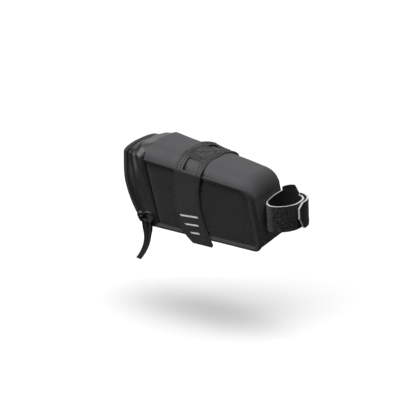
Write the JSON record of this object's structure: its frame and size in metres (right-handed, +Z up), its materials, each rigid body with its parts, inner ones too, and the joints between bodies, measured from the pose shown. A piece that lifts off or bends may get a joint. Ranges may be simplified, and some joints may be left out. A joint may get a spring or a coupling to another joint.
{
  "type": "saddle bag",
  "caption": "Wedge-shaped bicycle saddle bag with a zipped rear lid, a wide strap over the saddle rails and a strap loop for the seatpost.",
  "frame": {"origin": "midway between the two saddle rails that the bag hangs from, in the gap under the strap", "axes": "+X forward to the seatpost, +Y to the rider's left, +Z up"},
  "size_m": [0.1868, 0.0902, 0.113],
  "materials": {
    "twill": "matte black twill weave",
    "weave": "dark grey fine weave with a soft sheen",
    "coated": "black coated fabric, satin",
    "strap": "smooth black coated webbing, matte",
    "pull": "black folded tape, matte",
    "pile": "black hook and loop pile",
    "foam": "soft closed-cell foam, unseen",
    "lining": "thin grey lining",
    "zip": "black nylon zip tape and coil",
    "metal": "black plated metal, semi-gloss",
    "reflective": "light grey reflective print"
  },
  "bodies": {
    "bag": {"bottom_board": "foam", "bottom_panel": "twill", "lining": "lining", "loop_patch_left": "pile", "loop_patch_right": "pile", "piping_left": "coated", "piping_right": "coated", "rear_band": "coated", "saddle_strap": "strap", "seatpost_anchor": "pile", "seatpost_strap_base": "strap", "seatpost_strap_right": "pile", "side_foam_left": "foam", "side_foam_right": "foam", "side_panel_left": "twill", "side_panel_right": "twill", "strap_pad": "pile", "top_foam": "foam", "top_front_panel": "weave", "zip_coil_body": "zip", "zip_tape_body": "zip"},
    "lid": {"lid_edge": "weave", "lid_foam": "foam", "lid_lining": "lining", "lid_panel": "weave", "light_loop": "strap", "zip_coil_lid": "zip", "zip_tape_lid": "zip"},
    "zip_slider": {"zip_slider": "metal"},
    "zip_hoop": {"zip_hoop": "metal"},
    "zip_pull": {"zip_pull": "pull"},
    "flap_right": {"strap_flap_right": "strap", "hook_patch_right": "pile", "reflective_bar_1": "reflective", "reflective_bar_2": "reflective", "reflective_bar_3": "reflective"},
    "flap_left": {"strap_flap_left": "strap", "hook_patch_left": "pile"},
    "post_strap_tail": {"seatpost_strap_tail": "strap", "tail_hook_patch": "pile"}
  },
  "joints": [
    {"name": "lid_open", "type": "hinge", "parent": "bag", "child": "lid", "pos_m": [-0.04101, 0, -0.0698], "axis": [0, -1, 0], "range_deg": [0, 95]},
    {"name": "zip_slider_travel", "type": "hinge", "parent": "bag", "child": "zip_slider", "pos_m": [0.0509, -0.03229, 0.0108], "axis": [-0.0569, 0.9975, -0.0414], "range_deg": [0, 21]},
    {"name": "zip_hoop_swing", "type": "hinge", "parent": "zip_slider", "child": "zip_hoop", "pos_m": [-0.04117, -0.04428, -0.06228], "axis": [0.0023, -0.0413, -0.9991], "range_deg": [0, 100]},
    {"name": "zip_pull_swing", "type": "hinge", "parent": "zip_hoop", "child": "zip_pull", "pos_m": [-0.03492, -0.0441, -0.06636], "axis": [-0.9984, -0.0568, 0], "range_deg": [0, 110]},
    {"name": "flap_right_peel", "type": "hinge", "parent": "bag", "child": "flap_right", "pos_m": [-0.001, -0.04036, -0.01588], "axis": [-0.9954, -0.0534, 0.0801], "range_deg": [0, 85]},
    {"name": "flap_left_peel", "type": "hinge", "parent": "bag", "child": "flap_left", "pos_m": [-0.001, 0.04036, -0.01588], "axis": [0.9954, -0.0534, -0.0801], "range_deg": [0, 85]},
    {"name": "post_tail_peel", "type": "hinge", "parent": "bag", "child": "post_strap_tail", "pos_m": [0.08811, 0.02707, -0.02644], "axis": [-0.1736, 0, 0.9848], "range_deg": [0, 70]}
  ]
}
